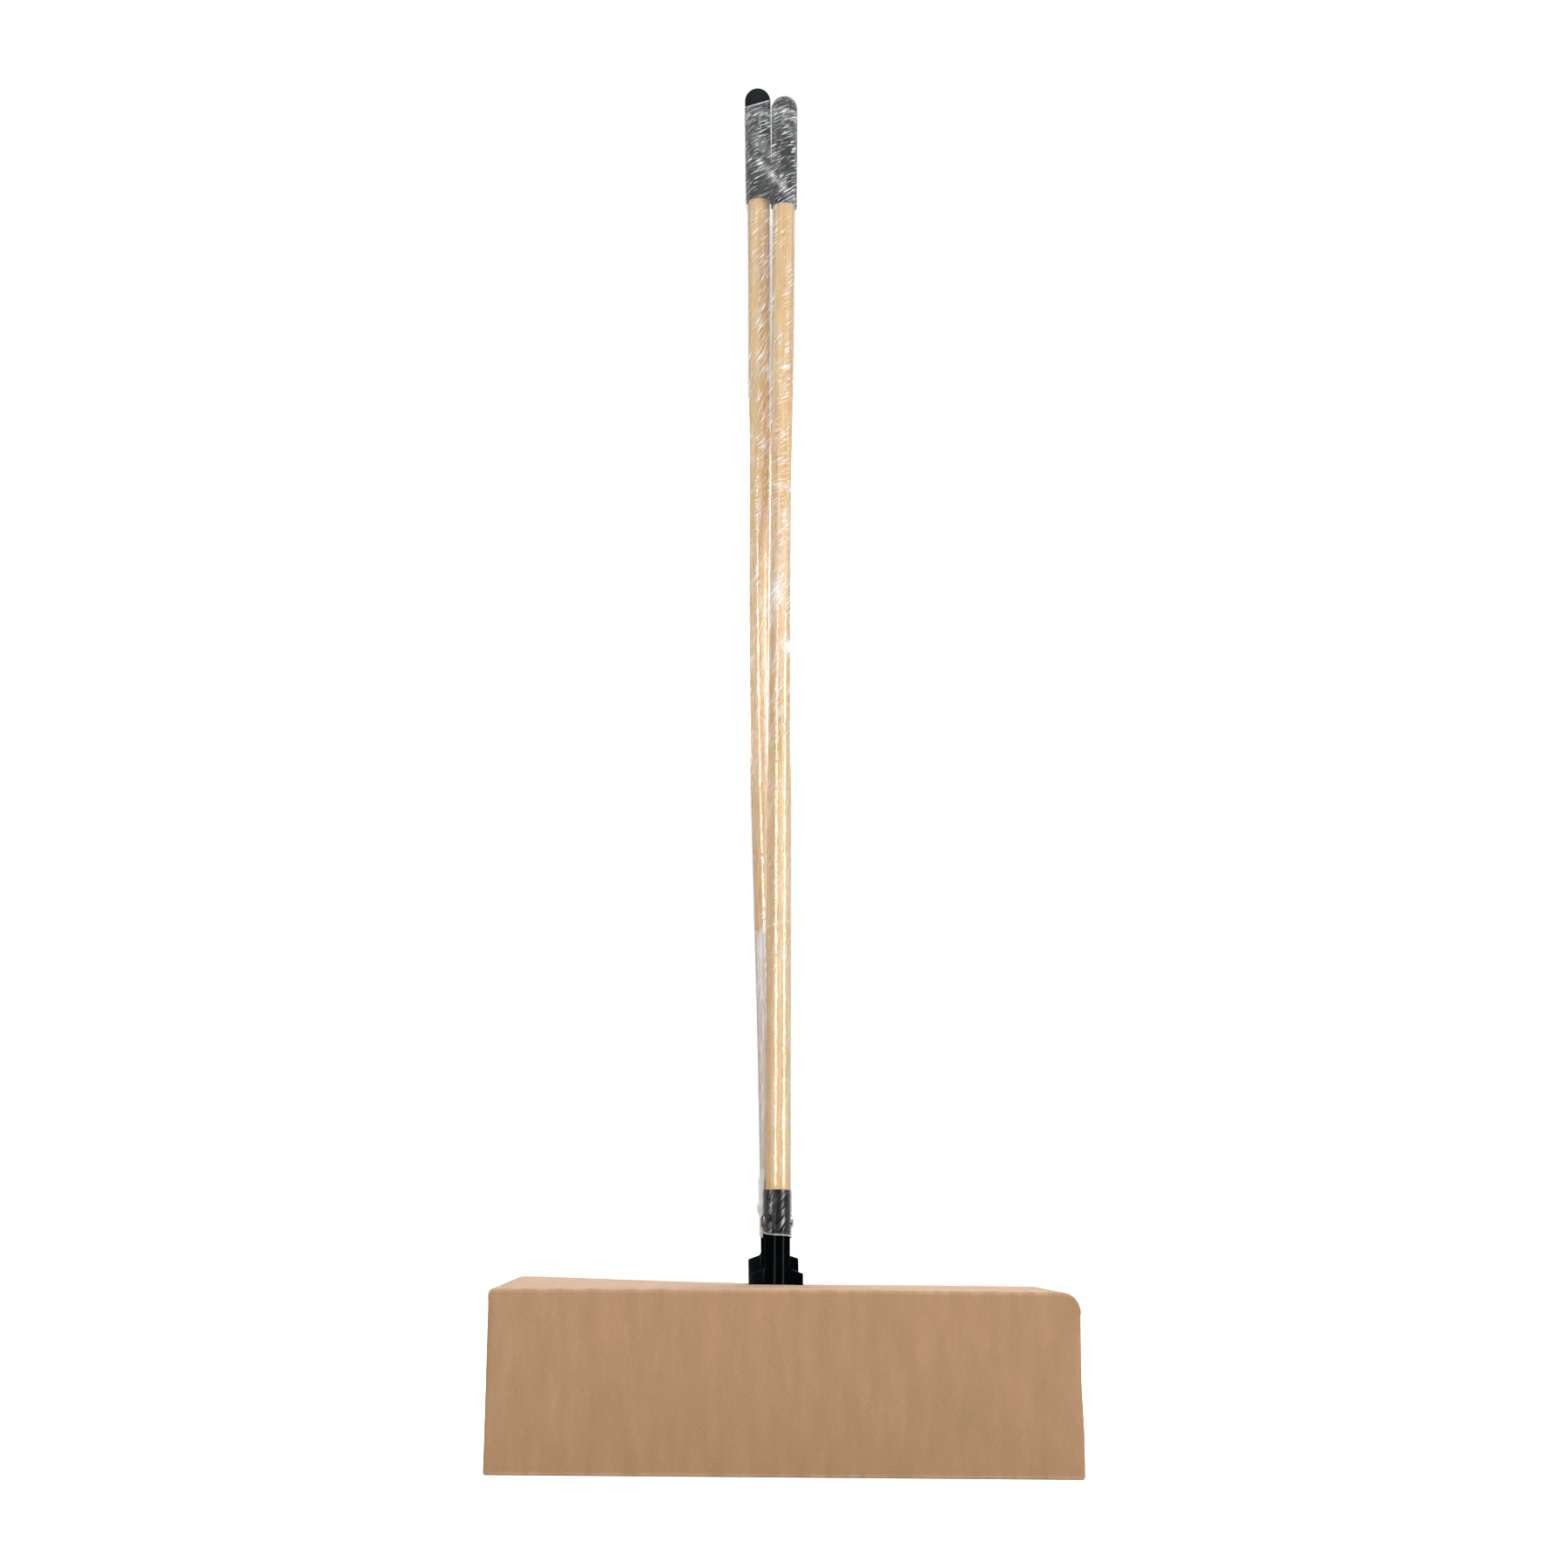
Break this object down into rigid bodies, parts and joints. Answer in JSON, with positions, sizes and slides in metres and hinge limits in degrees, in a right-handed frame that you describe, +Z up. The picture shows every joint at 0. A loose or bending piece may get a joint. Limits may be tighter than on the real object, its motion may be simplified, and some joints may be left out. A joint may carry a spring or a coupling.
{
  "type": "snow brush scraper bundle",
  "caption": "Long-handled snow brush scrapers, wood handles and black grips, film-wrapped side by side, heads packed in a kraft carton with hinged flaps.",
  "frame": {"origin": "middle of the carton's underside, on the floor", "axes": "+X to the right along the carton's long front wall, +Y from the front wall to the back wall, +Z up along the handles; in metres"},
  "size_m": [0.65, 0.27, 1.714],
  "materials": {
    "kraft_board": "uncoated kraft liner, matt",
    "handle_wood": "clear lacquered pale hardwood",
    "grip_vinyl": "satin, dipped vinyl",
    "socket_plastic": "satin moulded",
    "head_plastic": "satin moulded",
    "bristle_nylon": "flagged filament",
    "blade_steel": "brushed",
    "fastener_steel": "zinc plated",
    "stretch_film": "clear stretch film, wrinkled"
  },
  "bodies": {
    "carton": {"carton_front_wall": "kraft_board", "carton_back_wall": "kraft_board", "carton_left_wall": "kraft_board", "carton_right_wall": "kraft_board", "carton_glue_tab": "kraft_board", "bottom_flap_front": "kraft_board", "bottom_flap_back": "kraft_board", "bottom_flap_left": "kraft_board", "bottom_flap_right": "kraft_board"},
    "long_flap_front": {"top_flap_front": "kraft_board"},
    "long_flap_back": {"top_flap_back": "kraft_board"},
    "end_flap_left": {"top_flap_left": "kraft_board"},
    "end_flap_right": {"top_flap_right": "kraft_board"},
    "tool_bundle": {"front_handle": "handle_wood", "front_grip": "grip_vinyl", "front_socket_bracket": "socket_plastic", "front_cross_bolt": "fastener_steel", "front_cross_nut": "fastener_steel", "front_head_block": "head_plastic", "front_bristle_row_1": "bristle_nylon", "front_bristle_row_2": "bristle_nylon", "front_bristle_row_3": "bristle_nylon", "front_bristle_row_4": "bristle_nylon", "front_bristle_row_5": "bristle_nylon", "front_scraper_blade": "blade_steel", "front_scraper_screw_1": "fastener_steel", "front_scraper_screw_2": "fastener_steel", "front_scraper_screw_3": "fastener_steel", "front_scraper_screw_4": "fastener_steel", "front_scraper_screw_5": "fastener_steel", "front_scraper_screw_6": "fastener_steel", "front_bracket_screw_1": "fastener_steel", "front_bracket_screw_2": "fastener_steel", "front_bracket_screw_3": "fastener_steel", "front_bracket_screw_4": "fastener_steel", "rear_handle": "handle_wood", "rear_grip": "grip_vinyl", "rear_socket_bracket": "socket_plastic", "rear_cross_bolt": "fastener_steel", "rear_cross_nut": "fastener_steel", "rear_head_block": "head_plastic", "rear_bristle_row_1": "bristle_nylon", "rear_bristle_row_2": "bristle_nylon", "rear_bristle_row_3": "bristle_nylon", "rear_bristle_row_4": "bristle_nylon", "rear_bristle_row_5": "bristle_nylon", "rear_scraper_blade": "blade_steel", "rear_scraper_screw_1": "fastener_steel", "rear_scraper_screw_2": "fastener_steel", "rear_scraper_screw_3": "fastener_steel", "rear_scraper_screw_4": "fastener_steel", "rear_scraper_screw_5": "fastener_steel", "rear_scraper_screw_6": "fastener_steel", "rear_bracket_screw_1": "fastener_steel", "rear_bracket_screw_2": "fastener_steel", "rear_bracket_screw_3": "fastener_steel", "rear_bracket_screw_4": "fastener_steel", "stretch_film": "stretch_film"}
  },
  "joints": [
    {"name": "long_flap_front_hinge", "type": "hinge", "parent": "carton", "child": "long_flap_front", "pos_m": [0, -0.135, 0.196], "axis": [1, 0, 0], "range_deg": [0, 265]},
    {"name": "long_flap_back_hinge", "type": "hinge", "parent": "carton", "child": "long_flap_back", "pos_m": [0, 0.135, 0.196], "axis": [-1, 0, 0], "range_deg": [0, 265]},
    {"name": "end_flap_left_hinge", "type": "hinge", "parent": "carton", "child": "end_flap_left", "pos_m": [-0.32085, 0, 0.1877], "axis": [0, 1, 0], "range_deg": [0, 2.5]},
    {"name": "end_flap_right_hinge", "type": "hinge", "parent": "carton", "child": "end_flap_right", "pos_m": [0.32085, 0, 0.1877], "axis": [0, -1, 0], "range_deg": [0, 2.5]},
    {"name": "tool_bundle_lift", "type": "slide", "parent": "carton", "child": "tool_bundle", "axis": [0, 0, 1], "range_m": [0, 0.012]}
  ]
}
